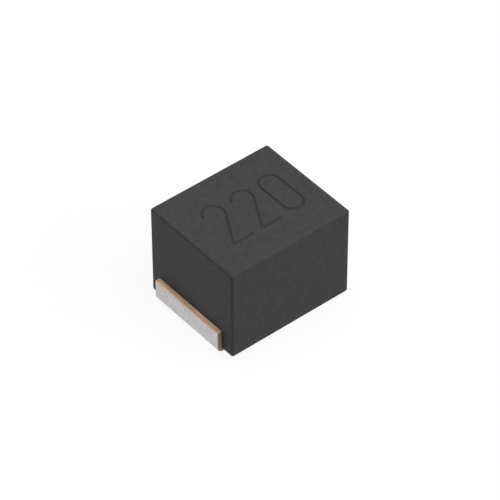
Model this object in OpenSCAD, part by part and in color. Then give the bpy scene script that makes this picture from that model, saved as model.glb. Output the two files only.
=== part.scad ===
// Moulded wire-wound power inductor for surface mounting, 3.2 x 2.5 mm class.
// A ferrite drum core with a three-layer copper winding stands on two lead-frame
// terminals and is moulded into a block of ferrite-filled resin, which is the shield.
// X runs along the block, terminals at both ends; Z is up and Z = 0 is the board.

/* [Moulded block] */
// Length of the block, without the terminals
body_l = 2.99; // [2.7:0.01:3.4]
// Width of the block
body_w = 2.545; // [2.3:0.005:2.9]
// Height of the block, without the gap under it
body_h = 2.20; // [2.05:0.01:2.6]
// Radius of the four edges round the top face
top_r = 0.05; // [0.02:0.01:0.15]
// Radius of the four edges round the underside
base_r = 0.075; // [0.02:0.005:0.15]
// Radius of the four upright edges
side_r = 0.06; // [0.02:0.01:0.15]

/* [Terminals] */
// Thickness of the lead-frame strip
strip_t = 0.11; // [0.08:0.01:0.15]
// Width of the solder pad and of the flap on the end face
strip_w = 1.97; // [1.4:0.01:2.2]
// Sideways offset of pads and flaps from the middle of the block
strip_shift = 0.033; // [-0.1:0.001:0.1]
// Height of the flap's top edge over the board
flap_h = 0.54; // [0.35:0.01:0.9]
// Inside radius of every bend in the strip
bend_r = 0.035; // [0.02:0.005:0.06]
// How far the solder pad is let into the underside
pad_let_in = 0.07; // [0.01:0.01:0.09]
// Height of the inner tab over the solder pad, from strip to strip
tab_rise = 0.30; // [0.24:0.01:0.36]
// How far the inner tab reaches past the flange, into the winding space
tab_past = 0.12; // [0.06:0.01:0.2]

/* [Drum core] */
// Length over both flanges
core_l = 2.10; // [1.9:0.02:2.3]
// Width of a flange
flange_w = 1.40; // [1.2:0.02:1.6]
// Height of a flange
flange_h = 1.50; // [1.3:0.02:1.55]
// Thickness of a flange
flange_t = 0.45; // [0.3:0.01:0.55]
// Radius of the flange's long edges
flange_r = 0.12; // [0.04:0.01:0.25]
// How far the flanges stand out past the winding
rim = 0.036; // [0.02:0.002:0.1]

/* [Winding] */
// Number of layers, odd, so that the wire starts at one flange and ends at the other
layers = 3; // [1:2:3]
// Diameter of the enamelled wire
wire_d = 0.11; // [0.09:0.005:0.13]
// Gap between wire and core
core_gap = 0.01; // [0.006:0.002:0.02]
// Gap between one turn and the next
turn_gap = 0.01; // [0.008:0.002:0.02]
// Gap between one layer and the next
layer_gap = 0.012; // [0.01:0.002:0.02]

/* [Welds and bonds] */
// Metal round the wire in the weld bead
weld_wall = 0.055; // [0.03:0.005:0.08]
// Length of wire that is held past the middle of the bead
weld_grip = 0.05; // [0.02:0.01:0.06]
// Spare length of tab before and after the bead
seat_margin = 0.01; // [0.005:0.005:0.03]
// Thickness of the adhesive under a flange
bond_t = 0.03; // [0.02:0.01:0.06]

/* [Clearances] */
// Resin to core, wire, weld and tab
mould_gap = 0.01; // [0.005:0.005:0.02]
// Extra room round a wire lead, for its bend
lead_room = 0.03; // [0.03:0.005:0.06]
// Weld bead to the side of the flange
weld_gap = 0.01; // [0.005:0.005:0.03]

/* [Hidden] */
$fn = 48;
eps = 0.5;          // how far a cutting solid runs past a face
wire_sides = 8;     // corners of the wire's section
turn_steps = 18;    // rings in one turn
climb_turn = 0.25;  // part of a turn in which the wire climbs a layer
climb_steps = 5;
bend_steps = 4;

// Levels over the board
body_z = strip_t - pad_let_in;
tab_z = tab_rise + strip_t;
axis_z = tab_z + bond_t + flange_h / 2;

// Places along X, all counted from the middle
outer_x = body_l / 2 + strip_t;
flange_x = core_l / 2 - flange_t;
weld_d = wire_d + 2 * weld_wall;
mid_r = bend_r + strip_t / 2;
seat_l = weld_d + 2 * seat_margin;
tab_x = flange_x + seat_l;
pad_x = tab_x + 2 * mid_r;
weld_x = flange_x + seat_margin + weld_d / 2;

// Places across Y
weld_y = flange_w / 2 + weld_gap + weld_d / 2;
tab_w = 2 * (weld_y + weld_d / 2);

// Winding: it lies below the rim of the flanges, and the barrel is what is left inside it
wire_r = wire_d / 2;
turn_x = wire_d + turn_gap;
layer_r = wire_d + layer_gap;
wind_r = min(flange_w, flange_h) / 2 - rim;
barrel_d = 2 * (wind_r - layers * layer_r + layer_gap - core_gap);
wind_x = flange_x - core_gap - wire_r;
full_turns = floor(2 * wind_x / turn_x);

// ---------------------------------------------------------------- winding path

// Radius of the wire's centre line in layer i
function coil_r(i) = barrel_d / 2 + core_gap + wire_r + i * layer_r;

// Where the lead lies on the tab, seen along X with the core's axis at [0, 0]
lead_drop = axis_z - tab_z - wire_r;
lead_reach = norm([weld_y, lead_drop]);
lead_angle = atan2(lead_drop, weld_y);

// Angle between the lead's place and the point where it touches layer i
function touch(i) = acos(coil_r(i) / lead_reach);
start_angle = 180 + lead_angle - touch(0);
end_angle = -lead_angle + touch(layers - 1);

// Layers after the first stay one turn away from the start lead
function left_x(i) = i == 0 ? -wind_x : -wind_x + turn_x;
function whole_turns(i) = i == 0 ? full_turns : full_turns - 1;
turns_before = layers == 1 ? 0 :
    (layers - 1) * climb_turn + full_turns + (layers - 2) * (full_turns - 1);
turns_left = (start_angle - end_angle) / 360 - turns_before;
function turns(i) = i < layers - 1 ? whole_turns(i) :
    whole_turns(i) - 1 + turns_left - floor(turns_left);
function turns_to(i) = i == 0 ? 0 : turns_to(i - 1) + turns(i - 1) + climb_turn;

function blend(a, b, s) = a + (b - a) * s;
function ease(s) = s * s * (3 - 2 * s);
function coil_x(i, s) = i % 2 == 0 ? blend(left_x(i), wind_x, s) : blend(wind_x, left_x(i), s);
function coil_point(x, r, turned) =
    let (a = start_angle - 360 * turned) [x, r * cos(a), r * sin(a)];

function layer_path(i) = let (n = ceil(turns(i) * turn_steps)) [
    for (j = [0 : n - 1]) coil_point(coil_x(i, j / n), coil_r(i), turns_to(i) + turns(i) * j / n)
];
function climb_path(i) = [
    for (j = [0 : climb_steps - 1]) let (s = j / climb_steps)
        coil_point(coil_x(i, 1), blend(coil_r(i), coil_r(i + 1), ease(s)),
                   turns_to(i) + turns(i) + climb_turn * s)
];

// From the weld along the tab, round a bend and straight up to where layer i begins
function lead_path(i) = let (
    a = 180 + lead_angle - touch(i),
    up = [0, sin(a), -cos(a)],
    corner = [-wind_x, -weld_y, -lead_drop],
    r = core_gap + wire_r
) concat([[-weld_x - weld_grip, corner.y, corner.z]], [
    for (j = [0 : bend_steps]) let (b = 90 * j / bend_steps)
        corner + [r * (sin(b) - 1), 0, 0] + r * (1 - cos(b)) * up
]);

// The end lead is the start lead turned half round Z, walked backwards
function end_lead() = let (p = lead_path(layers - 1)) [
    for (j = [len(p) - 1 : -1 : 0]) [-p[j].x, -p[j].y, p[j].z]
];

wire_path = concat(
    lead_path(0),
    [for (i = [0 : layers - 1]) each concat(layer_path(i), i < layers - 1 ? climb_path(i) : [])],
    [coil_point(coil_x(layers - 1, 1), coil_r(layers - 1), turns_to(layers - 1) + turns(layers - 1))],
    end_lead()
);

// -------------------------------------------------------------- general shapes

// Round tube along a path near the X axis; corner 0 of each ring points away from the axis
module tube(path, r, sides) {
    n = len(path);
    function unit(v) = v / norm(v);
    rings = [for (i = [0 : n - 1]) let (
        along = unit(path[min(i + 1, n - 1)] - path[max(i - 1, 0)]),
        out = [0, path[i].y, path[i].z],
        u = unit(out - (out * along) * along),
        v = cross(along, u)
    ) for (k = [0 : sides - 1]) let (a = 360 * k / sides) path[i] + r * (cos(a) * u + sin(a) * v)];
    function at(i, k) = i * sides + k % sides;
    skin = [for (i = [0 : n - 2], k = [0 : sides - 1]) each [
        [at(i, k), at(i + 1, k), at(i + 1, k + 1)],
        [at(i, k), at(i + 1, k + 1), at(i, k + 1)]
    ]];
    caps = [[for (k = [0 : sides - 1]) at(0, k)], [for (k = [sides - 1 : -1 : 0]) at(n - 1, k)]];
    polyhedron(rings, concat(skin, caps));
}

// What a corner loses to a rounding of radius r; the corner is at the origin, inside towards + +
module corner_cut(r) {
    difference() {
        translate([-eps, -eps]) square(r + eps);
        translate([r, r]) circle(r);
        translate([-eps, r]) square([2 * eps, eps]);
        translate([r, -eps]) square([eps, 2 * eps]);
    }
}

// Rectangle of w x h standing on Y = 0, with its own radius at the top and at the bottom
module upright_profile(w, h, r_top, r_base) {
    difference() {
        translate([-w / 2, 0]) square([w, h]);
        for (s = [0, 1]) mirror([s, 0]) {
            translate([-w / 2, 0]) corner_cut(r_base);
            translate([-w / 2, h]) mirror([0, 1]) corner_cut(r_top);
        }
    }
}

// Sheet strip seen from the side: each step is [length, bend angle], walked on the middle line
module strip_profile(steps, t, i = 0) {
    length = steps[i][0];
    turn = steps[i][1];
    way = turn < 0 ? -1 : 1;
    translate([0, -t / 2]) square([length, t]);
    if (turn != 0) translate([length, 0]) {
        translate([0, way * mid_r]) intersection() {
            difference() {
                circle(mid_r + t / 2);
                circle(mid_r - t / 2);
            }
            translate([0, way > 0 ? -2 * mid_r : 0]) square(2 * mid_r);
        }
        translate([mid_r, way * mid_r]) rotate(turn) strip_profile(steps, t, i + 1);
    }
}

// Turns a profile drawn in X and Z into a solid of width w across Y
module across(w) {
    rotate([90, 0, 0]) linear_extrude(height = w, center = true) children();
}

// ----------------------------------------------------------------- moulded body

module block() {
    translate([0, 0, body_z]) intersection() {
        across(body_w + 2 * eps) upright_profile(body_l, body_h, top_r, base_r);
        rotate(90) across(body_l + 2 * eps) upright_profile(body_w, body_h, top_r, base_r);
        linear_extrude(height = body_h) translate([0, -body_w / 2])
            upright_profile(body_l, body_w, side_r, side_r);
    }
}

// Room for a wire lead: from the weld to the corner on the tab, then up to the winding
module lead_channel(i) {
    r = wire_r + mould_gap + lead_room;
    climb = sqrt(lead_reach * lead_reach - coil_r(i) * coil_r(i));
    translate([-wind_x, -weld_y, axis_z - lead_drop]) {
        sphere(r);
        rotate([0, -90, 0]) cylinder(h = weld_x - wind_x, r = r);
        rotate([lead_angle - touch(i), 0, 0]) cylinder(h = climb, r = r);
    }
}

module cavity() {
    core_envelope(mould_gap);
    for (s = [0, 1]) mirror([s, 0, 0]) {
        terminal_socket();
        bond(mould_gap);
    }
    for (s = [0, 1]) rotate(180 * s) {
        weld_ball(mould_gap);
        lead_channel(s * (layers - 1));
    }
}

module moulded_body() {
    color([0.26, 0.26, 0.26]) difference() {
        block();
        cavity();
    }
}

// -------------------------------------------------------------------- terminals

// The part of the strip inside the resin: riser and tab, g larger all round
module inner_strip(g = 0) {
    root_l = strip_t / 2;   // overlaps the pad
    riser_l = tab_rise - 2 * mid_r;
    tab_l = seat_l + tab_past + g;
    translate([-pad_x - root_l, 0, strip_t / 2]) across(tab_w + 2 * g)
        strip_profile([[root_l, 90], [riser_l, -90], [tab_l, 0]], strip_t + 2 * g);
}

// The part outside: flap on the end face, bend and solder pad
module outer_strip() {
    flap_l = flap_h - strip_t / 2 - mid_r;
    pad_l = outer_x - pad_x - strip_t / 2 - mid_r;
    translate([-outer_x + strip_t / 2, strip_shift, flap_h]) across(strip_w)
        rotate(-90) strip_profile([[flap_l, 90], [pad_l, 0]], strip_t);
}

module terminal() {
    color([0.73, 0.73, 0.73]) union() {
        outer_strip();
        inner_strip();
    }
}

// What the strip takes out of the resin
module terminal_socket() {
    outer_strip();
    inner_strip(mould_gap);
}

// -------------------------------------------------------------------- drum core

module flange(g = 0) {
    translate([-core_l / 2 - g, 0, axis_z]) rotate([90, 0, 90])
        linear_extrude(height = flange_t + g) translate([0, -flange_h / 2 - g])
            upright_profile(flange_w + 2 * g, flange_h + 2 * g, flange_r, flange_r);
}

// Core and winding as the resin meets them, g larger all round
module core_envelope(g) {
    for (s = [0, 1]) mirror([s, 0, 0]) flange(g);
    barrel(wind_r + g);
}

module barrel(r) {
    translate([0, 0, axis_z]) rotate([0, 90, 0]) cylinder(h = core_l - flange_t, r = r, center = true);
}

module drum_core() {
    color([0.22, 0.21, 0.21]) union() {
        for (s = [0, 1]) mirror([s, 0, 0]) flange();
        barrel(barrel_d / 2);
    }
}

// ---------------------------------------------------------- winding and its joints

module winding() {
    color([0.72, 0.40, 0.20]) translate([0, 0, axis_z]) tube(wire_path, wire_r, wire_sides);
}

module weld_ball(g = 0) {
    translate([-weld_x, -weld_y, tab_z + wire_r]) sphere(weld_d / 2 + g);
}

// Bead of melted metal that holds the wire's end on the tab
module weld() {
    color([0.80, 0.62, 0.45]) difference() {
        weld_ball();
        translate([-weld_x - eps, -weld_y - eps, tab_z - eps]) cube([2 * eps, 2 * eps, eps]);
        translate([-weld_x - weld_grip, -weld_y, tab_z + wire_r])
            rotate([0, 90, 0]) cylinder(h = eps, r = wire_r);
    }
}

// Adhesive between the inner tab and the flange that stands on it
module bond(g = 0) {
    color([0.85, 0.80, 0.62]) translate([-tab_x, -flange_w / 2 - g, tab_z])
        cube([seat_l, flange_w + 2 * g, bond_t]);
}

moulded_body();
drum_core();
winding();
terminal();  // terminal_left
mirror([1, 0, 0]) terminal();  // terminal_right
weld();  // weld_left
rotate(180) weld();  // weld_right
bond();  // bond_left
mirror([1, 0, 0]) bond();  // bond_right
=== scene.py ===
"""Looks of a shielded surface-mount inductor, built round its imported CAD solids.

Every piece is a surface worked out with numpy in millimetres and put into a mesh in metres. Most of
them are lofts: a rounded rectangle carried along a line of stations. The moulded body is such a loft,
from which the hollow of the CAD solid and the engraved digits are cut.
"""

import logging
from dataclasses import dataclass
from enum import Enum

import bmesh
import bpy
import numpy as np
from mathutils import Matrix, Vector


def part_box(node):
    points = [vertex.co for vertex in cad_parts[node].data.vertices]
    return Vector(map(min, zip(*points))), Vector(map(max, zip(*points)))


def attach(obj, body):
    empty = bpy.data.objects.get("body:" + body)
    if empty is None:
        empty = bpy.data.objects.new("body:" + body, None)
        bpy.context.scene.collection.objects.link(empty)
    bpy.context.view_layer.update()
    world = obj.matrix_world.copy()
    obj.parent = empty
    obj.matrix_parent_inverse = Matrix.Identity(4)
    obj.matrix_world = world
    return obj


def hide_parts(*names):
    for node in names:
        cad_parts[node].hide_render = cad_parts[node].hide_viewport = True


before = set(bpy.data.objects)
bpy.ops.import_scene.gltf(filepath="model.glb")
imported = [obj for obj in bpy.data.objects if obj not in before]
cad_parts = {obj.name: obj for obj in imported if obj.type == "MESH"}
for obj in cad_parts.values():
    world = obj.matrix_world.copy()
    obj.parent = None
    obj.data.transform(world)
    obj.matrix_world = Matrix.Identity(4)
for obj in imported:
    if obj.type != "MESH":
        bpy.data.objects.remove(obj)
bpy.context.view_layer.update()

log = logging.getLogger("inductor")

MM = 0.001                        # metres in a millimetre
X, Y, Z = np.eye(3)
LAND = 0.008                      # width of the flat strip beside a rounding, in mm
SAME_POINT = 1e-5 * MM            # points nearer than this are one point
ROOT = "root"                     # the one body of a part without joints

Colour = tuple[float, float, float]
Feed = float | tuple[float, ...] | bpy.types.NodeSocket    # what a shader socket takes


# ------------ surfaces

@dataclass
class Surface:
    """A closed surface: points in millimetres and faces as rows of point numbers."""

    points: np.ndarray
    faces: list[list[int]]

    def normals(self) -> np.ndarray:
        """Unit normals, from a quad's two diagonals or, in a cap, from the area that its outline spans.

        Returns:
            One normal for each face, n x 3.
        """
        found = np.zeros((len(self.faces), 3))
        sizes = np.array([len(face) for face in self.faces])
        four = np.flatnonzero(sizes == 4)
        corners = self.points[np.array([self.faces[i] for i in four])]
        found[four] = np.cross(corners[:, 2] - corners[:, 0], corners[:, 3] - corners[:, 1])
        for i in np.flatnonzero(sizes != 4):
            rim = self.points[self.faces[i]]
            found[i] = np.cross(rim, np.roll(rim, -1, axis=0)).sum(0)
        return found / np.maximum(np.linalg.norm(found, axis=1, keepdims=True), 1e-12)


def closed_tube(rings: np.ndarray, endless: bool = False) -> Surface:
    """Joins rings of points into a closed surface.

    Each quad joins two neighbours on one ring to the same two on the next. The first and the last
    ring are closed by one flat face each, or joined to each other.

    Args:
        rings: Points as rings x points x 3, counter-clockwise when seen against the direction of travel.
        endless: Whether the last ring runs on into the first.

    Returns:
        The surface, with its faces pointing outwards.
    """
    count, around = rings.shape[:2]
    number = np.arange(count * around).reshape(count, around)
    here = number if endless else number[:-1]
    ahead = np.roll(number, -1, axis=0) if endless else number[1:]
    quads = np.stack([here, np.roll(here, -1, axis=1), np.roll(ahead, -1, axis=1), ahead], axis=-1)
    faces = quads.reshape(-1, 4).tolist()
    if not endless:
        faces += [number[0, ::-1].tolist(), number[-1].tolist()]
    return Surface(rings.reshape(-1, 3), faces)


def outline(half_a: np.ndarray, half_b: np.ndarray, radius: np.ndarray, steps: int) -> np.ndarray:
    """Rounded rectangles, one for each station.

    A corner is a quarter circle about the point (half_a - radius, half_b - radius). One more point lies
    a land's width before and after it on the straight side, so that the flat beside it shades flat.

    Args:
        half_a: Half size along the first axis, one for each station.
        half_b: Half size along the second axis.
        radius: Corner radius.
        steps: Faces in one corner.

    Returns:
        Points as stations x points x 2.
    """
    quarter = np.radians(np.linspace(0, 90, steps + 1))
    corner = np.concatenate([quarter[:1], quarter, quarter[-1:]])
    turn = (np.arange(4)[:, None] * np.pi / 2 + corner).ravel()
    slide = np.tile(np.concatenate([[-1], np.zeros(steps + 1), [1]]), 4)
    sign_a = np.repeat([1, -1, -1, 1], len(corner))
    sign_b = np.repeat([1, 1, -1, -1], len(corner))
    flat = np.minimum(half_a, half_b) - radius
    land = np.clip(flat / 2, 0, LAND)[:, None]
    a = sign_a * (half_a - radius)[:, None] + radius[:, None] * np.cos(turn) - land * slide * np.sin(turn)
    b = sign_b * (half_b - radius)[:, None] + radius[:, None] * np.sin(turn) + land * slide * np.cos(turn)
    return np.stack([a, b], axis=-1)


def loft(centres: np.ndarray, first: np.ndarray, second: np.ndarray, half_a: np.ndarray,
         half_b: np.ndarray, radius: np.ndarray, steps: int = 6) -> Surface:
    """Rounded rectangle carried along a line: centre + a * first axis + b * second axis.

    Args:
        centres: Middle of each station, n x 3.
        first: First axis, n x 3 or one vector for all.
        second: Second axis. First cross second points along the line.
        half_a: Half size along the first axis at each station.
        half_b: Half size along the second axis.
        radius: Corner radius at each station.
        steps: Faces in one corner.

    Returns:
        The closed surface.
    """
    ring = outline(half_a, half_b, radius, steps)
    first = np.broadcast_to(first, centres.shape)[:, None]
    second = np.broadcast_to(second, centres.shape)[:, None]
    return closed_tube(centres[:, None] + ring[..., :1] * first + ring[..., 1:] * second)


def rounded_run(length: float, r_start: float, r_end: float, steps: int) -> tuple[np.ndarray, np.ndarray]:
    """Stations along a bar whose two end edges are quarter rounds.

    On a quarter of radius r the place advances by r (1 - cos b) while the outline's inset falls as
    r (1 - sin b). A land is added on both sides of each quarter.

    Args:
        length: Length of the bar.
        r_start: Radius at its start.
        r_end: Radius at its end.
        steps: Faces in one quarter.

    Returns:
        Place along the bar and inset of the outline, one of each for each station.
    """
    b = np.radians(np.linspace(0, 90, steps + 1))

    def quarter(r: float) -> tuple[np.ndarray, np.ndarray]:
        """One end with its two lands, counted from the end inwards."""
        place = np.concatenate([[0], r * (1 - np.cos(b)), [r + LAND]])
        return place, np.concatenate([[r + LAND], r * (1 - np.sin(b)), [0]])

    place_0, inset_0 = quarter(r_start)
    place_1, inset_1 = quarter(r_end)
    return np.concatenate([place_0, length - place_1[::-1]]), np.concatenate([inset_0, inset_1[::-1]])


def tube(path: np.ndarray, out: np.ndarray, radius: np.ndarray, sides: int,
         endless: bool = False) -> Surface:
    """Round tube along a path: point + radius * (cos * u + sin * v) in the plane across the path.

    Args:
        path: Points of the middle line, n x 3.
        out: Direction that u leans to at each point, n x 3.
        radius: Radius at each point.
        sides: Faces round the tube.
        endless: Whether the path is a closed loop.

    Returns:
        The closed surface.
    """
    if endless:
        along = np.roll(path, -1, axis=0) - np.roll(path, 1, axis=0)
    else:
        along = np.gradient(path, axis=0)
    along /= np.linalg.norm(along, axis=1, keepdims=True)
    u = out - (out * along).sum(1, keepdims=True) * along
    u /= np.linalg.norm(u, axis=1, keepdims=True)
    v = np.cross(along, u)
    turn = np.linspace(0, 2 * np.pi, sides, endpoint=False)[None, :, None]
    ring = np.cos(turn) * u[:, None] + np.sin(turn) * v[:, None]
    return closed_tube(path[:, None] + radius[:, None, None] * ring, endless)


def domed(path: np.ndarray, r: float, steps: int = 6,
          pole_deg: float = 86.0) -> tuple[np.ndarray, np.ndarray]:
    """Adds half balls to the ends of a tube's path: r sin b further on, the tube's radius is r cos b.

    Args:
        path: Points of the middle line, n x 3.
        r: Radius of the tube.
        steps: Rings in one half ball.
        pole_deg: The angle b at which a half ball ends in a small flat face.

    Returns:
        The longer path and the radius at each of its points.
    """
    b = np.radians(np.linspace(pole_deg, 0, steps, endpoint=False))[:, None]
    start = path[0] - path[1]
    end = path[-1] - path[-2]
    head = path[0] + start / np.linalg.norm(start) * r * np.sin(b)
    tail = path[-1] + end / np.linalg.norm(end) * r * np.sin(b[::-1])
    cap = r * np.cos(b[:, 0])
    return np.concatenate([head, path, tail]), np.concatenate([cap, np.full(len(path), r), cap[::-1]])


def box_mm(node: str) -> tuple[np.ndarray, np.ndarray]:
    """Lowest and highest corner of a CAD node, in millimetres."""
    low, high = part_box(node)
    return np.array(low) / MM, np.array(high) / MM


# ------------ meshes

def make_object(name: str, surfaces: list[Surface], materials: list[bpy.types.Material],
                numbers: np.ndarray | None = None) -> bpy.types.Object:
    """Puts surfaces into one mesh object at the origin.

    Args:
        name: Name of the object.
        surfaces: Closed surfaces in millimetres.
        materials: Materials of the object.
        numbers: Which material each face has. The first one everywhere if it is left out.

    Returns:
        The object, linked to the scene, in metres.
    """
    starts = np.cumsum([0] + [len(s.points) for s in surfaces])
    faces = [[int(start) + p for p in face] for start, s in zip(starts, surfaces) for face in s.faces]
    mesh = bpy.data.meshes.new(name)
    mesh.from_pydata(np.concatenate([s.points for s in surfaces]) * MM, [], faces)
    for material in materials:
        mesh.materials.append(material)
    if numbers is not None:
        mesh.polygons.foreach_set("material_index", numbers.astype(np.int32))
    piece = bpy.data.objects.new(name, mesh)
    bpy.context.scene.collection.objects.link(piece)
    return piece


def finish_mesh(piece: bpy.types.Object, sharp_deg: float = 32.0) -> None:
    """Merges points that coincide, drops faces without area, and shades smooth up to an angle.

    Args:
        piece: The object whose mesh is finished.
        sharp_deg: Edges that turn more than this stay sharp.
    """
    shape = bmesh.new()
    shape.from_mesh(piece.data)
    bmesh.ops.remove_doubles(shape, verts=shape.verts, dist=SAME_POINT)
    bmesh.ops.dissolve_degenerate(shape, edges=shape.edges, dist=SAME_POINT)
    shape.to_mesh(piece.data)
    shape.free()
    piece.data.polygons.foreach_set("use_smooth", np.ones(len(piece.data.polygons), bool))
    piece.data.set_sharp_from_angle(angle=np.radians(sharp_deg))


class Cut(Enum):
    """What a boolean step keeps of the piece."""

    KEEP_SHARED = "INTERSECT"
    TAKE_AWAY = "DIFFERENCE"


def cut(piece: bpy.types.Object, tool: bpy.types.Object, how: Cut) -> None:
    """Cuts a piece with a closed tool for good, and removes the tool.

    Args:
        piece: The object that is cut.
        tool: The closed object that cuts it. Its faces keep their own material.
        how: What is kept.
    """
    step = piece.modifiers.new("cut", "BOOLEAN")
    step.operation = how.value
    step.solver = "EXACT"
    step.use_self = how is Cut.TAKE_AWAY
    step.material_mode = "TRANSFER"
    step.object = tool
    evaluated = piece.evaluated_get(bpy.context.evaluated_depsgraph_get())
    mesh = bpy.data.meshes.new_from_object(evaluated)
    piece.modifiers.clear()
    old = piece.data
    mesh.name = piece.name
    piece.data = mesh
    bpy.data.meshes.remove(old)
    bpy.data.meshes.remove(tool.data)


def hand_over(piece: bpy.types.Object, node: str, slot: str) -> None:
    """Lets a finished piece ride on the part in place of its CAD node, and reports it.

    Args:
        piece: The finished object.
        node: The CAD node that it stands for.
        slot: The record's material slot that its finish belongs to.
    """
    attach(piece, ROOT)
    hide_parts(node)
    piece.data.calc_loop_triangles()
    log.info("%s: %d triangles, finish %s", piece.name, len(piece.data.loop_triangles), slot)


# ------------ materials

class Graph:
    """A short way to place nodes in one shader tree and to link them."""

    def __init__(self, tree: bpy.types.NodeTree) -> None:
        """Starts an empty tree."""
        self.tree = tree
        tree.nodes.clear()

    def add(self, kind: str, **settings: object) -> bpy.types.Node:
        """Places a node and sets its own settings.

        Args:
            kind: Node type without the ShaderNode in front.
            settings: Settings of the node by name.

        Returns:
            The node.
        """
        prefix = "" if kind.startswith("NodeGroup") else "ShaderNode"
        node = self.tree.nodes.new(prefix + kind)
        for name, value in settings.items():
            setattr(node, name, value)
        return node

    def feed(self, node: bpy.types.Node, **inputs: Feed) -> bpy.types.Node:
        """Fills a node's sockets with links or plain values.

        Args:
            node: The node to fill.
            inputs: Socket name with _ for a space, or iN for socket number N, and a value or output.

        Returns:
            The same node.
        """
        for name, value in inputs.items():
            number = name[0] == "i" and name[1:].isdigit()
            socket = node.inputs[int(name[1:]) if number else name.replace("_", " ")]
            if isinstance(value, bpy.types.NodeSocket):
                self.tree.links.new(value, socket)
            else:
                socket.default_value = value
        return node

    def mix(self, share: Feed, low: Feed, high: Feed) -> bpy.types.NodeSocket:
        """Colour between low and high."""
        node = self.add("Mix", data_type="RGBA")
        return self.feed(node, i0=share, i6=low, i7=high).outputs[2]

    def span(self, value: Feed, low: float, high: float) -> bpy.types.NodeSocket:
        """A value from 0 to 1 spread between low and high."""
        node = self.add("MapRange")
        return self.feed(node, Value=value, To_Min=low, To_Max=high).outputs[0]

    def maths(self, operation: str, first: Feed, second: Feed, third: Feed = 0.0) -> bpy.types.NodeSocket:
        """Result of one Math node."""
        node = self.add("Math", operation=operation)
        return self.feed(node, i0=first, i1=second, i2=third).outputs[0]

    def blend(self, share: Feed, low: bpy.types.Node, high: bpy.types.Node) -> bpy.types.Node:
        """Shader between low and high."""
        return self.feed(self.add("MixShader"), i0=share, i1=low.outputs[0], i2=high.outputs[0])

    def seen_or_mirrored(self) -> bpy.types.NodeSocket:
        """Tells rays that show the white background from those that carry soft light.

        Returns:
            1 for a ray from the camera, a mirrored ray or one through glass, and 0 for the rest.
        """
        ray = self.add("LightPath").outputs
        mirrored = self.maths("MAXIMUM", ray["Is Camera Ray"], ray["Is Glossy Ray"])
        return self.maths("MAXIMUM", mirrored, ray["Is Transmission Ray"])


def rgba(colour: Colour) -> tuple[float, float, float, float]:
    """A colour with full opacity."""
    return (*colour, 1.0)


NOISE_SPAN = (0.3, 0.7)           # nearly all of a noise's values lie between these
MOTTLE_IN_HEIGHT = 0.3            # part that the mottle has in the relief, against 1 for the grain
MOTTLE_IN_TONE = 0.6              # and what both have in the mix of the two tones
GRAIN_IN_TONE = 0.4


def grain_group() -> bpy.types.NodeTree:
    """Node group of broad mottle and fine grain, shared by all the materials.

    Both are noises on the object's coordinates. The coordinates are first stretched, so that rolled metal
    can have streaks. Height is the grain with a little mottle.

    Returns:
        The group, made once.
    """
    known = bpy.data.node_groups.get("mottle_and_grain")
    if known:
        return known
    tree = bpy.data.node_groups.new("mottle_and_grain", "ShaderNodeTree")
    graph = Graph(tree)
    for name, kind in (("Stretch", "NodeSocketVector"), ("Mottle Scale", "NodeSocketFloat"),
                       ("Grain Scale", "NodeSocketFloat")):
        tree.interface.new_socket(name, in_out="INPUT", socket_type=kind)
    for name in ("Mottle", "Grain", "Height"):
        tree.interface.new_socket(name, in_out="OUTPUT", socket_type="NodeSocketFloat")
    given = graph.add("NodeGroupInput")
    result = graph.add("NodeGroupOutput")
    place = graph.add("TexCoord").outputs["Object"]
    stretched = graph.add("VectorMath", operation="MULTIPLY")
    graph.feed(stretched, i0=place, i1=given.outputs["Stretch"])
    spread = {}
    for name, detail, rough in (("Mottle", 4.0, 0.6), ("Grain", 3.0, 0.65)):
        noise = graph.feed(graph.add("TexNoise", normalize=True), Vector=stretched.outputs[0],
                           Scale=given.outputs[name + " Scale"], Detail=detail, Roughness=rough)
        spread[name] = graph.feed(graph.add("MapRange"), Value=noise.outputs[0],
                                  From_Min=NOISE_SPAN[0], From_Max=NOISE_SPAN[1]).outputs[0]
    share = graph.maths("MULTIPLY", spread["Mottle"], MOTTLE_IN_HEIGHT)
    graph.feed(result, Height=graph.maths("ADD", spread["Grain"], share), **spread)
    return tree


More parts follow.
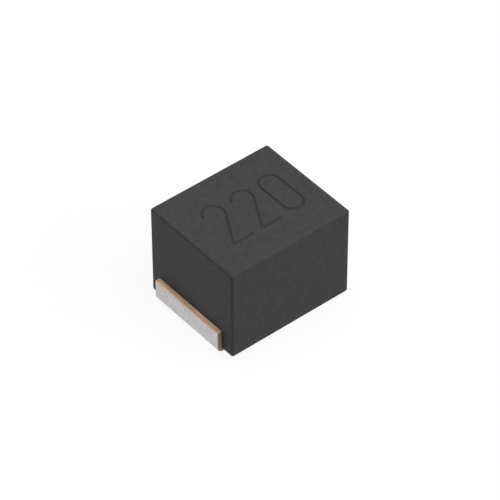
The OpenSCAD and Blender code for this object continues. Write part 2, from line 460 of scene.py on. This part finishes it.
@dataclass(frozen=True)
class Finish:
    """A surface finish: two tones mottled into each other, a range of roughness and a fine relief.

    Sizes are in millimetres and colours are linear.
    """

    name: str
    tones: tuple[Colour, Colour]
    roughness: tuple[float, float]
    mottle: float
    grain: float
    relief: float
    metallic: float = 0.0
    specular: float = 0.5
    streaks: Colour = (1.0, 1.0, 1.0)
    coat: float = 0.0
    coat_roughness: float = 0.12
    coat_tint: Colour = (1.0, 1.0, 1.0)
    see_through: float = 0.0

    def material(self) -> bpy.types.Material:
        """The finish as a material: tone from mottle and grain, roughness from grain, bump from both.

        Returns:
            The material, made once.
        """
        known = bpy.data.materials.get(self.name)
        if known:
            return known
        material = bpy.data.materials.new(self.name)
        material.use_nodes = True
        material.diffuse_color = rgba(self.tones[1])
        graph = Graph(material.node_tree)
        group = graph.add("Group", node_tree=grain_group())
        graph.feed(group, Stretch=self.streaks, Mottle_Scale=1 / (self.mottle * MM),
                   Grain_Scale=1 / (self.grain * MM))
        share = graph.maths("MULTIPLY", group.outputs["Mottle"], MOTTLE_IN_TONE)
        share = graph.maths("MULTIPLY_ADD", group.outputs["Grain"], GRAIN_IN_TONE, share)
        bump = graph.feed(graph.add("Bump"), Height=group.outputs["Height"], Distance=self.relief * MM)
        shader = graph.feed(
            graph.add("BsdfPrincipled"),
            Base_Color=graph.mix(share, rgba(self.tones[0]), rgba(self.tones[1])),
            Roughness=graph.span(group.outputs["Grain"], *self.roughness),
            Normal=bump.outputs[0], Metallic=self.metallic, Specular_IOR_Level=self.specular,
            Coat_Weight=self.coat, Coat_Roughness=self.coat_roughness, Coat_Tint=rgba(self.coat_tint),
            Transmission_Weight=self.see_through)
        graph.feed(graph.add("OutputMaterial"), Surface=shader.outputs[0])
        return material


RESIN = Finish("moulding_resin", ((0.0265, 0.0265, 0.0265), (0.0475, 0.0475, 0.0475)), (0.52, 0.66),
               mottle=0.12, grain=0.05, relief=0.0016, specular=0.24)
# The engraved tone is a little darker than the resin's: painted shade in the grooves, so the digits read
# dark from every side.
ENGRAVED_PAINTED_SHADE = Finish("engraved_resin_painted_shade", ((0.029, 0.029, 0.029), (0.0375, 0.0375, 0.0375)), (0.6, 0.7),
                  mottle=0.2, grain=0.012, relief=0.001, specular=0.18)
TIN = Finish("tin_plating", ((0.39, 0.352, 0.35), (0.60, 0.606, 0.615)), (0.32, 0.46),
             mottle=0.05, grain=0.03, relief=0.0008, metallic=1.0, streaks=(0.8, 1.0, 0.8))
CUT_COPPER = Finish("cut_copper", ((0.58, 0.34, 0.20), (1.0, 0.74, 0.55)), (0.45, 0.65),
                    mottle=0.07, grain=0.02, relief=0.0012, metallic=0.3, streaks=(1.0, 0.12, 1.0))
# The slit edges' copper is darker and more olive than the cut ends': partly its own duller tone, partly
# painted shade for the shade that falls on the side edges beside the block.
SLIT_COPPER_PAINTED_SHADE = Finish("slit_copper_painted_shade", ((0.315, 0.255, 0.173), (0.42, 0.343, 0.239)), (0.5, 0.65),
                     mottle=0.06, grain=0.015, relief=0.0012, metallic=0.3, streaks=(1.0, 1.0, 0.2))
FERRITE = Finish("ferrite", ((0.030, 0.028, 0.027), (0.052, 0.050, 0.048)), (0.55, 0.75),
                 mottle=0.12, grain=0.02, relief=0.002, specular=0.5)
ENAMEL = Finish("enamelled_copper", ((0.62, 0.25, 0.10), (0.78, 0.36, 0.16)), (0.22, 0.32),
                mottle=0.4, grain=0.05, relief=0.0003, metallic=1.0, coat=1.0, coat_tint=(1.0, 0.82, 0.6))
WELD_METAL = Finish("weld_metal", ((0.48, 0.40, 0.34), (0.66, 0.60, 0.54)), (0.22, 0.42),
                    mottle=0.08, grain=0.02, relief=0.0015, metallic=1.0)
ADHESIVE = Finish("epoxy_adhesive", ((0.62, 0.52, 0.33), (0.72, 0.63, 0.44)), (0.25, 0.35),
                  mottle=0.15, grain=0.03, relief=0.0005, see_through=0.35)


def deliver(name: str, surface: Surface, finish: Finish, node: str, slot: str) -> None:
    """Makes a piece of one surface in one finish, and hands it over.

    Args:
        name: Name of the piece.
        surface: Its closed surface in millimetres.
        finish: Its finish.
        node: The CAD node that it stands for.
        slot: The record's material slot that its finish belongs to.
    """
    piece = make_object(name, [surface], [finish.material()])
    finish_mesh(piece)
    hand_over(piece, node, slot)


# ------------ moulded body

@dataclass
class Marking:
    """Plain digits engraved in the top face with a round-ended tool.

    Lengths are in millimetres. A digit is drawn in a cell that starts at its lower left corner.
    """

    text: str = "220"
    digit_h: float = 1.135
    digit_w: float = 0.46
    pitch: float = 0.715
    centre: tuple[float, float] = (0.075, 0.0035)
    hook_deg: float = 168.0       # angle from X at which the arc of a 2 starts
    tool_r: float = 0.034
    depth: float = 0.016
    steps: int = 28               # points in one arc
    sides: int = 20               # faces round the tool

    def arc(self, centre: tuple[float, float], start_deg: float, end_deg: float) -> np.ndarray:
        """Part of a circle as wide as the digit: centre + r (cos, sin)."""
        a = np.radians(np.linspace(start_deg, end_deg, self.steps))
        return np.array(centre) + self.digit_w / 2 * np.stack([np.cos(a), np.sin(a)], axis=-1)

    def two(self) -> list[np.ndarray]:
        """Arc over the top, the tangent from it down to the lower left corner, and the foot.

        The foot starts half a tool radius beside the corner, so that the two strokes' ends don't coincide.

        Returns:
            The digit's two strokes, each as points n x 2.
        """
        r = self.digit_w / 2
        centre = (r, self.digit_h - r)
        to_corner = np.degrees(np.arctan2(-centre[1], -centre[0]))
        leave = to_corner + np.degrees(np.arccos(r / np.hypot(*centre)))
        hook = np.concatenate([self.arc(centre, self.hook_deg, leave), [[0, 0]]])
        return [hook, np.array([[self.tool_r / 2, 0], [self.digit_w, 0]])]

    def zero(self) -> list[np.ndarray]:
        """Two half circles joined by straight sides, as one loop."""
        r = self.digit_w / 2
        return [np.concatenate([self.arc((r, self.digit_h - r), 0, 180), self.arc((r, r), 180, 360)])]

    def tools(self, top: float) -> list[Surface]:
        """The bodies that the tool sweeps out, one for each stroke.

        Args:
            top: Height of the face that is engraved.

        Returns:
            Closed tubes that reach the engraving's depth under the face.
        """
        draw = {"2": self.two, "0": self.zero}
        height = top + self.tool_r - self.depth
        swept = []
        for i, digit in enumerate(self.text):
            left = self.centre[0] + (i - (len(self.text) - 1) / 2) * self.pitch - self.digit_w / 2
            corner = np.array([left, self.centre[1] - self.digit_h / 2, height])
            for stroke in draw[digit]():
                path = corner + np.pad(stroke, ((0, 0), (0, 1)))
                endless = digit == "0"
                radius = np.full(len(path), self.tool_r)
                if not endless:
                    path, radius = domed(path, self.tool_r)
                swept.append(tube(path, np.broadcast_to(Z, path.shape), radius, self.sides, endless))
        return swept


@dataclass
class MouldedBody:
    """The block of resin, with the hollow round the pieces inside it and the engraved digits."""

    top_r: float = 0.05
    base_r: float = 0.075
    side_r: float = 0.06
    least_r: float = 0.004        # plan radius left where a rounding has used up the corner
    steps: int = 8
    clear: float = 0.2            # how far the hollow's outer faces are moved off the skin
    spare: float = 0.01           # by which the moved zones are wider than the roundings
    sole: float = 0.002           # height of the moved zone on the underside

    def skin(self) -> Surface:
        """Rounded rectangle carried up from the underside, drawn in at both ends by the roundings.

        Returns:
            The closed surface.
        """
        low, high = box_mm("moulded_body")
        place, inset = rounded_run(high[2] - low[2], self.base_r, self.top_r, self.steps)
        centres = (low + high) / 2 * (1 - Z) + (low[2] + place)[:, None] * Z
        half = (high - low) / 2
        radius = np.maximum(self.side_r - inset, self.least_r)
        return loft(centres, X, Y, half[0] - inset, half[1] - inset, radius, self.steps)

    def hollow(self) -> bpy.types.Object:
        """The CAD solid with its outer faces moved clear of the skin, so that only its hollow cuts.

        Points in the rounded zones by the sides and the top, and those on the underside, are moved
        outwards. All other points belong to the hollow and stay.

        Returns:
            A closed object.
        """
        low, high = box_mm("moulded_body")
        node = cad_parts["moulded_body"]
        tool = bpy.data.objects.new("hollow", node.data.copy())
        if "custom_normal" in tool.data.attributes:
            tool.data.attributes.remove(tool.data.attributes["custom_normal"])
        bpy.context.scene.collection.objects.link(tool)
        points = np.empty(len(tool.data.vertices) * 3, np.float32)
        tool.data.vertices.foreach_get("co", points)
        points = points.reshape(-1, 3) / MM
        margin = self.base_r + self.spare
        points += self.clear * (points > high - np.array([margin, margin, self.top_r + self.spare]))
        points -= self.clear * (points < low + np.array([margin, margin, self.sole]))
        tool.data.vertices.foreach_set("co", (points * MM).ravel())
        tool.data.materials.clear()
        tool.data.materials.append(RESIN.material())
        finish_mesh(tool)
        return tool

    def build(self, marking: Marking) -> None:
        """Makes the block, cuts its hollow and its digits, and hands it over.

        Args:
            marking: The digits that are engraved in its top face.
        """
        piece = make_object("moulded_block", [self.skin()], [RESIN.material()])
        finish_mesh(piece)
        cut(piece, self.hollow(), Cut.KEEP_SHARED)
        top = box_mm("moulded_body")[1][2]
        # The cutter's faces become the groove walls and carry the darker engraved tone, which is painted
        # shade.
        tool = make_object("digits", marking.tools(top), [ENGRAVED_PAINTED_SHADE.material()])
        cut(piece, tool, Cut.TAKE_AWAY)
        finish_mesh(piece)
        hand_over(piece, "moulded_body", "moulding_compound")


# ------------ terminals

@dataclass
class Terminal:
    """A tinned copper strip: flap on the end face, solder pad, riser and inner tab.

    The strip was plated before it was cut, so its cut edges show copper. Lengths are in millimetres, and
    those that the terminal's box doesn't give are fields.
    """

    node: str
    bend_r: float = 0.035         # inside radius of the bends
    inner_w: float = 1.86         # width of the riser and the tab
    tab_top: float = 0.41         # height of the tab's upper face
    riser_x: float = 0.93         # distance of the riser's middle from the middle of the part
    shoulder: float = 0.004       # length in which the width changes
    edge_r: float = 0.014         # rounding that the slitting leaves along the edges
    end_r: float = 0.024          # rounding of the ends, on the outer side alone
    tinned_cos: float = 0.93      # cosine of the most that a tinned face leans from the strip's plane
    slit_cos: float = 0.7         # cosine of the most that a slit edge's face leans from Y
    edge_steps: int = 4
    bend_steps: int = 8

    def line(self, low: np.ndarray, high: np.ndarray, thick: float) -> tuple[np.ndarray, np.ndarray, int]:
        """Middle line of the left strip in X and Z, from the flap's top edge to the end of the tab.

        Straight lengths are joined by quarter circles of the middle radius. Each straight length has two
        stations, a land's width from its ends, which leave room for the rounding of the strip's own ends.

        Args:
            low: Lowest corner of the terminal's box.
            high: Highest corner of the terminal's box.
            thick: Thickness of the strip.

        Returns:
            Points n x 2, heading at each point in radians, and how many of them lie outside the resin.
        """
        r = self.bend_r + thick / 2
        outer_x = low[0] + thick / 2
        pad_l = -self.riser_x - outer_x - 2 * r
        runs = [(high[2] - thick / 2 - r, 90), (pad_l, 90),
                (self.tab_top - thick - 2 * r, -90), (high[0] + self.riser_x - r, 0)]
        here = np.array([outer_x, high[2]])
        heading = -np.pi / 2
        points, headings, outer = [], [], 0
        for number, (length, turn) in enumerate(runs):
            way = np.array([np.cos(heading), np.sin(heading)])
            first = LAND + (0 if number else self.end_r)
            last = length - LAND - (0 if turn else self.end_r)
            points.append(here + np.array([[first], [last]]) * way)
            headings.append(np.full(2, heading))
            here = here + length * way
            if number == 1:
                outer = sum(map(len, points))
            if turn:
                side = np.sign(turn)
                inward = side * np.array([-way[1], way[0]])
                b = np.linspace(0, np.pi / 2, self.bend_steps + 1)
                points.append(here + r * (np.sin(b)[:, None] * way + (1 - np.cos(b))[:, None] * inward))
                headings.append(heading + side * b)
                here = here + r * (way + inward)
                heading += side * np.pi / 2
        return np.concatenate(points), np.concatenate(headings), outer

    def strip(self) -> tuple[Surface, np.ndarray]:
        """Carries the strip's section along its middle line, with a small rounding at both ends.

        The outer and the inner part have their own width and meet in a nearly square shoulder. The right
        terminal is the left one with X reversed and its faces turned round again.

        Returns:
            The surface, and for each face 0 on the tinned faces, 1 on the cut ends and 2 on the slit edges.
        """
        low, high = box_mm(self.node)
        block = box_mm("moulded_body")[0][0]
        right = low[0] > 0
        if right:
            low[0], high[0] = -high[0], -low[0]
        thick = block - low[0]
        points, headings, outer = self.line(low, high, thick)
        split = np.r_[0:outer, outer - 1:len(points)]
        points, headings = points[split], headings[split]
        points[outer] += self.shoulder * np.array([np.cos(headings[outer]), np.sin(headings[outer])])
        inner = np.arange(len(points)) >= outer
        half_w = np.where(inner, self.inner_w / 2, (high[1] - low[1]) / 2)
        shift = np.where(inner, 0.0, (high[1] + low[1]) / 2)
        along = np.stack([np.cos(headings), np.zeros(len(points)), np.sin(headings)], axis=-1)
        face = np.cross(Y, along)
        centres = np.stack([points[:, 0], shift, points[:, 1]], axis=-1)
        b = np.radians(np.linspace(0, 90, self.edge_steps + 1))
        back = LAND + self.end_r * np.cos(b)
        inset = self.end_r * (1 - np.sin(b)) / 2
        head = centres[0] - back[:, None] * along[0]
        tail = centres[-1] + back[::-1, None] * along[-1]
        centres = np.concatenate([head, centres, tail])
        face = np.concatenate([np.repeat(face[:1], len(b), 0), face, np.repeat(face[-1:], len(b), 0)])
        inset = np.concatenate([inset, np.zeros(len(points)), inset[::-1]])
        centres = centres - inset[:, None] * face
        half_w = np.pad(half_w, len(b), mode="edge")
        surface = loft(centres, face, Y, thick / 2 - inset, half_w - inset,
                       np.full(len(centres), self.edge_r), self.edge_steps)
        normals = surface.normals()
        rows = normals[:-2].reshape(len(centres) - 1, -1, 3)
        tinned = np.abs((rows * face[:-1, None]).sum(-1)) > self.tinned_cos
        # Faces that face along Y, the side edges, get the darker slit copper, whose tone holds painted
        # shade.
        slit = np.abs(normals[:, 1]) > self.slit_cos
        kinds = np.where(slit, 2, 1) * ~np.concatenate([tinned.ravel(), [False, False]])
        if right:
            surface.points = surface.points * np.array([-1, 1, 1])
            surface.faces = [f[::-1] for f in surface.faces]
        return surface, kinds

    def build(self) -> None:
        """Makes the strip with tinned faces and bare cut edges, and hands it over."""
        surface, kinds = self.strip()
        piece = make_object("strip_" + self.node.split("_")[1], [surface],
                            [TIN.material(), CUT_COPPER.material(), SLIT_COPPER_PAINTED_SHADE.material()], kinds)
        finish_mesh(piece)
        hand_over(piece, self.node, "tinned_strip")


# ------------ core, wire and joints

@dataclass
class DrumCore:
    """The pressed and fired ferrite core: a round barrel between two flanges, one piece."""

    flange_t: float = 0.45
    flange_r: float = 0.12        # radius of the flange's long edges
    rim_r: float = 0.02           # rounding round both faces of a flange
    barrel_r: float = 0.30
    root_r: float = 0.02          # fillet between barrel and flange
    steps: int = 8

    def surface(self) -> Surface:
        """Rounded rectangle carried along X: a flange, the barrel, which is all corner, and a flange.

        Returns:
            The closed surface.
        """
        low, high = box_mm("drum_core")
        half = (high - low) / 2
        place, inset = rounded_run(self.flange_t, self.rim_r, self.rim_r, self.steps // 2)
        b = np.radians(np.linspace(0, 90, self.steps // 2 + 1))
        root = self.flange_t + self.root_r * (1 - np.cos(b))
        flare = self.barrel_r + self.root_r * (1 - np.sin(b))
        x = np.concatenate([place, root, [root[-1] + LAND]])
        barrel = np.concatenate([flare, [self.barrel_r]])
        half_y = np.concatenate([half[1] - inset, barrel])
        half_z = np.concatenate([half[2] - inset, barrel])
        radius = np.concatenate([self.flange_r - inset, barrel])
        x = np.concatenate([x, 2 * half[0] - x[::-1]])
        centres = (low + high) / 2 * (1 - X) + (low[0] + x)[:, None] * X
        half_y, half_z, radius = (np.concatenate([v, v[::-1]]) for v in (half_y, half_z, radius))
        return loft(centres, Y, Z, half_y, half_z, radius, self.steps)

    def build(self) -> None:
        """Makes the core and hands it over."""
        deliver("ferrite_drum", self.surface(), FERRITE, "drum_core", "ferrite")


@dataclass
class Winding:
    """One enamelled wire in three layers round the barrel, with a lead at each end.

    Angles are counted round the core's axis, from +Y towards +Z, in degrees. The lengths are those of the
    CAD solid, in millimetres.
    """

    wire_d: float = 0.11
    layers: int = 3
    barrel_r: float = 0.30
    core_gap: float = 0.01
    turn_gap: float = 0.01
    layer_gap: float = 0.012
    flange_x: float = 0.60        # inner face of a flange
    weld_at: tuple[float, float] = (0.72, 0.82)   # distance of a weld from the middle, along X and Y
    weld_grip: float = 0.05
    tab_top: float = 0.41
    climb: float = 0.25           # part of a turn in which the wire climbs a layer
    turn_steps: int = 40
    bend_steps: int = 8
    sides: int = 14

    def __post_init__(self) -> None:
        """Works out the places that follow from the sizes."""
        low, high = box_mm("drum_core")
        self.axis_z = (low[2] + high[2]) / 2
        self.wind_x = self.flange_x - self.core_gap - self.wire_d / 2
        self.pitch = self.wire_d + self.turn_gap
        self.full_turns = np.floor(2 * self.wind_x / self.pitch)
        self.drop = self.axis_z - self.tab_top - self.wire_d / 2
        self.reach = np.hypot(self.weld_at[1], self.drop)
        self.lead_deg = np.degrees(np.arctan2(self.drop, self.weld_at[1]))

    def coil_r(self, layer: int) -> float:
        """Radius of the wire's middle line in a layer."""
        return self.barrel_r + self.core_gap + self.wire_d / 2 + layer * (self.wire_d + self.layer_gap)

    def touch(self, layer: int) -> float:
        """Angle between a lead's corner on the tab and the point where the lead meets the layer."""
        return np.degrees(np.arccos(self.coil_r(layer) / self.reach))

    def coil(self) -> np.ndarray:
        """The turns: x runs to and fro between the flanges while the angle falls by 360 for each turn.

        Between two layers the radius rises smoothly, as s s (3 - 2 s), while x stands still. Layers after
        the first stay a turn's pitch away from the start lead, and the last one ends where it meets the
        end lead.

        Returns:
            Points n x 3, with the core's axis at zero.
        """
        start = 180 + self.lead_deg - self.touch(0)
        end = -self.lead_deg + self.touch(self.layers - 1)
        turned, x, r, done = [], [], [], 0.0
        for layer in range(self.layers):
            left = -self.wind_x + (self.pitch if layer else 0)
            ends = (left, self.wind_x) if layer % 2 == 0 else (self.wind_x, left)
            turns = self.full_turns - (1 if layer else 0)
            last = layer == self.layers - 1
            if last:
                turns += ((start - end) / 360 - done) % 1 - 1
            s = np.linspace(0, 1, round(turns * self.turn_steps), endpoint=last)
            turned.append(done + turns * s)
            x.append(ends[0] + (ends[1] - ends[0]) * s)
            r.append(np.full(len(s), self.coil_r(layer)))
            done += turns
            if not last:
                s = np.linspace(0, 1, round(self.climb * self.turn_steps), endpoint=False)
                turned.append(done + self.climb * s)
                x.append(np.full(len(s), ends[1]))
                r.append(self.coil_r(layer) + (self.wire_d + self.layer_gap) * s * s * (3 - 2 * s))
                done += self.climb
        angle = np.radians(start - 360 * np.concatenate(turned))
        radius = np.concatenate(r)
        return np.stack([np.concatenate(x), radius * np.cos(angle), radius * np.sin(angle)], axis=-1)

    def lead(self, layer: int) -> np.ndarray:
        """Start lead: from the weld along the tab and round a bend, then straight to the layer.

        The bend of radius r turns from X to the direction up: corner + r (sin b - 1) X + r (1 - cos b) up.

        Args:
            layer: The layer that the lead belongs to.

        Returns:
            Points n x 3, with the core's axis at zero.
        """
        a = np.radians(180 + self.lead_deg - self.touch(layer))
        up = np.array([0, np.sin(a), -np.cos(a)])
        corner = np.array([-self.wind_x, -self.weld_at[1], -self.drop])
        first = np.array([[-self.weld_at[0] - self.weld_grip, corner[1], corner[2]]])
        r = self.core_gap + self.wire_d / 2
        b = np.linspace(0, np.pi / 2, self.bend_steps + 1)[:, None]
        return np.concatenate([first, corner + r * (np.sin(b) - 1) * X + r * (1 - np.cos(b)) * up])

    def surface(self) -> Surface:
        """A round tube along the whole wire. The end lead is a start lead turned half round Z.

        Returns:
            The closed surface.
        """
        end = (self.lead(self.layers - 1) * np.array([-1, -1, 1]))[::-1]
        path = np.concatenate([self.lead(0), self.coil(), end])
        out = path * (1 - X)
        radius = np.full(len(path), self.wire_d / 2)
        return tube(path + self.axis_z * Z, out, radius, self.sides)

    def build(self) -> None:
        """Makes the wire and hands it over."""
        deliver("wound_wire", self.surface(), ENAMEL, "winding", "enamelled_wire")


@dataclass
class Weld:
    """The bead of melted metal that holds an end of the wire on a tab."""

    node: str
    foot: float = 0.010           # how far the melt has run out over the tab
    ripple: float = 0.02          # part of the radius by which the bead is out of round
    crown_deg: float = 88.0       # how steep the melt is where its small flat crown starts
    rows: int = 20
    around: int = 40

    def surface(self) -> Surface:
        """A ball cut off at the tab: its radius at height h is the ball's, plus a foot that fades with h.

        Low waves round the bead and up it make it slightly out of round, always inwards.

        Returns:
            The closed surface.
        """
        low, high = box_mm(self.node)
        ball_r = (high[0] - low[0]) / 2
        middle = high[2] - ball_r
        foot_deg = -np.degrees(np.arcsin((middle - low[2]) / ball_r))
        b = np.radians(np.linspace(foot_deg, self.crown_deg, self.rows))[:, None]
        turn = np.linspace(0, 2 * np.pi, self.around, endpoint=False)[None, :]
        height = ball_r * np.sin(b)
        waves = 0.5 + 0.25 * np.sin(3 * turn + 4 * b) + 0.25 * np.sin(5 * turn - 3 * b + 1)
        reach = ball_r * np.cos(b) * (1 - self.ripple * waves)
        reach = reach + self.foot * np.exp(-(height + middle - low[2]) / self.foot)
        centre = (low + high) / 2
        rings = np.stack([centre[0] + reach * np.cos(turn), centre[1] + reach * np.sin(turn),
                          middle + height + 0 * turn], axis=-1)
        return closed_tube(rings)

    def build(self) -> None:
        """Makes the bead and hands it over."""
        deliver("bead_" + self.node.split("_")[1], self.surface(), WELD_METAL, self.node, "weld_metal")


@dataclass
class Bond:
    """The layer of adhesive between a tab and the flange that stands on it."""

    node: str
    corner_r: float = 0.03
    waist: float = 0.008          # how far the layer is drawn in half way up
    rows: int = 9

    def surface(self) -> Surface:
        """Rounded rectangle carried up, drawn in by waist sin(pi h) where h runs from 0 to 1.

        Returns:
            The closed surface.
        """
        low, high = box_mm(self.node)
        h = np.linspace(0, 1, self.rows)
        inset = self.waist * np.sin(np.pi * h)
        half = (high - low) / 2
        centres = (low + high) / 2 * (1 - Z) + (low[2] + h * (high[2] - low[2]))[:, None] * Z
        return loft(centres, X, Y, half[0] - inset, half[1] - inset, np.full(self.rows, self.corner_r))

    def build(self) -> None:
        """Makes the layer and hands it over."""
        deliver("glue_" + self.node.split("_")[1], self.surface(), ADHESIVE, self.node, "adhesive")


# ------------ light and camera

@dataclass(frozen=True)
class SoftLamp:
    """A square area lamp that shines on the middle of the part.

    Azimuth 0 stands in front, at -Y, and 90 at +X. Distance and size are in millimetres, and radiance is
    what the lamp's face shows.
    """

    name: str
    azimuth: float
    elevation: float
    radiance: float
    size: float
    distance: float = 90.0

    def build(self) -> None:
        """Places the lamp. Its power is pi times its area times its radiance."""
        data = bpy.data.lights.new(self.name, "AREA")
        data.shape = "SQUARE"
        data.size = self.size * MM
        data.energy = np.pi * (self.size * MM) ** 2 * self.radiance
        lamp = bpy.data.objects.new(self.name, data)
        back = direction(self.azimuth, self.elevation)
        lamp.location = Vector(back * self.distance * MM)
        lamp.rotation_euler = Vector(back).to_track_quat("Z", "Y").to_euler()
        lamp.visible_camera = False
        bpy.context.scene.collection.objects.link(lamp)


def direction(azimuth: float, elevation: float) -> np.ndarray:
    """Unit vector from the part towards a viewer, from angles in degrees."""
    a, e = np.radians([azimuth, elevation])
    return np.array([np.sin(a) * np.cos(e), -np.cos(a) * np.cos(e), np.sin(e)])


@dataclass
class Studio:
    """A plain pale floor and a white surrounding with soft lamps."""

    floor_mm: float = 400.0
    gap: float = 0.002            # how far the floor lies under the pads
    floor_tone: float = 0.5       # what the floor throws back as soft light
    shadow: float = 0.12          # share of the lit floor in what the camera sees of it
    open_light: float = 0.90      # how bright the lit floor is away from the part
    sky: float = 0.08
    lamps: tuple[SoftLamp, ...] = (
        SoftLamp("key", 32, 36, 1.7, 90.0),
        SoftLamp("top", 0, 89.9, 2.1, 100.0),
    )

    def floor(self) -> None:
        """A square sheet under the part, which can't be seen from below.

        Soft light meets a pale sheet. The camera and mirrored rays see white with a share of the lit sheet
        in it, which carries the part's shadow.
        """
        a, b, down = np.array([-self.floor_mm / 2, self.floor_mm / 2, -self.gap]) * MM
        mesh = bpy.data.meshes.new("floor")
        mesh.from_pydata([(a, a, down), (b, a, down), (b, b, down), (a, b, down)], [], [(0, 1, 2, 3)])
        material = bpy.data.materials.new("floor")
        material.cycles.emission_sampling = "NONE"
        material.use_nodes = True
        graph = Graph(material.node_tree)
        pale = graph.feed(graph.add("BsdfDiffuse"), Color=rgba((self.floor_tone,) * 3))
        lit = graph.feed(graph.add("BsdfDiffuse"), Color=rgba((1, 1, 1)))
        rest = (1 - self.shadow * self.open_light) / (1 - self.shadow)
        white = graph.feed(graph.add("Emission"), Strength=rest)
        seen = graph.blend(1 - self.shadow, lit, white)
        sheet = graph.blend(graph.seen_or_mirrored(), pale, seen)
        below = graph.maths("MULTIPLY", graph.add("LightPath").outputs["Is Camera Ray"],
                            graph.add("NewGeometry").outputs["Backfacing"])
        out = graph.blend(below, sheet, graph.add("BsdfTransparent"))
        graph.feed(graph.add("OutputMaterial"), Surface=out.outputs[0])
        mesh.materials.append(material)
        floor = bpy.data.objects.new("floor", mesh)
        bpy.context.scene.collection.objects.link(floor)

    def surrounding(self) -> None:
        """White for the camera and for mirrored rays, and a soft grey light for the rest."""
        world = bpy.data.worlds.new("surrounding")
        world.use_nodes = True
        graph = Graph(world.node_tree)
        strength = graph.span(graph.seen_or_mirrored(), self.sky, 1.0)
        background = graph.feed(graph.add("Background"), Color=rgba((1, 1, 1)), Strength=strength)
        graph.feed(graph.add("OutputWorld"), Surface=background.outputs[0])
        bpy.context.scene.world = world

    def build(self) -> None:
        """Places the floor, the surrounding and the lamps."""
        self.floor()
        self.surrounding()
        for lamp in self.lamps:
            lamp.build()
        log.info("studio: floor, surrounding and %d lamps", len(self.lamps))


@dataclass(frozen=True)
class Viewpoint:
    """The camera: where it stands round the middle of the block, its roll and its lens in millimetres."""

    azimuth: float = -39.32
    elevation: float = 43.38
    roll: float = -0.16
    distance: float = 63.56
    lens: float = 231.2
    rise: float = 0.0045          # height of the point it looks at over the middle of the block
    clip: tuple[float, float] = (1.0, 1000.0)     # nearest and farthest that it sees

    def build(self) -> None:
        """Places the camera so that the middle of the block is in the middle of its view."""
        low, high = box_mm("moulded_body")
        aim = (low + high) / 2 + self.rise * Z
        back = direction(self.azimuth, self.elevation)
        right = np.cross(Z, back)
        right /= np.linalg.norm(right)
        up = np.cross(back, right)
        data = bpy.data.cameras.new("camera")
        data.lens = self.lens
        data.clip_start = self.clip[0] * MM
        data.clip_end = self.clip[1] * MM
        camera = bpy.data.objects.new("camera", data)
        facing = Matrix([[right[i], up[i], back[i]] for i in range(3)])
        turn = facing @ Matrix.Rotation(np.radians(self.roll), 3, "Z")
        camera.matrix_world = Matrix.Translation((aim + back * self.distance) * MM) @ turn.to_4x4()
        bpy.context.scene.collection.objects.link(camera)
        bpy.context.scene.camera = camera


# ------------ main


def main() -> None:
    """Builds the pieces in order, then the studio and the camera."""
    Viewpoint().build()
    MouldedBody().build(Marking())
    DrumCore().build()
    Winding().build()
    for side in ("left", "right"):
        Terminal("terminal_" + side).build()
        Weld("weld_" + side).build()
        Bond("bond_" + side).build()
    Studio().build()
    bpy.context.scene.view_settings.view_transform = "Standard"


if __name__ == "__main__":
    logging.basicConfig(level=logging.INFO, format="%(message)s")
    main()
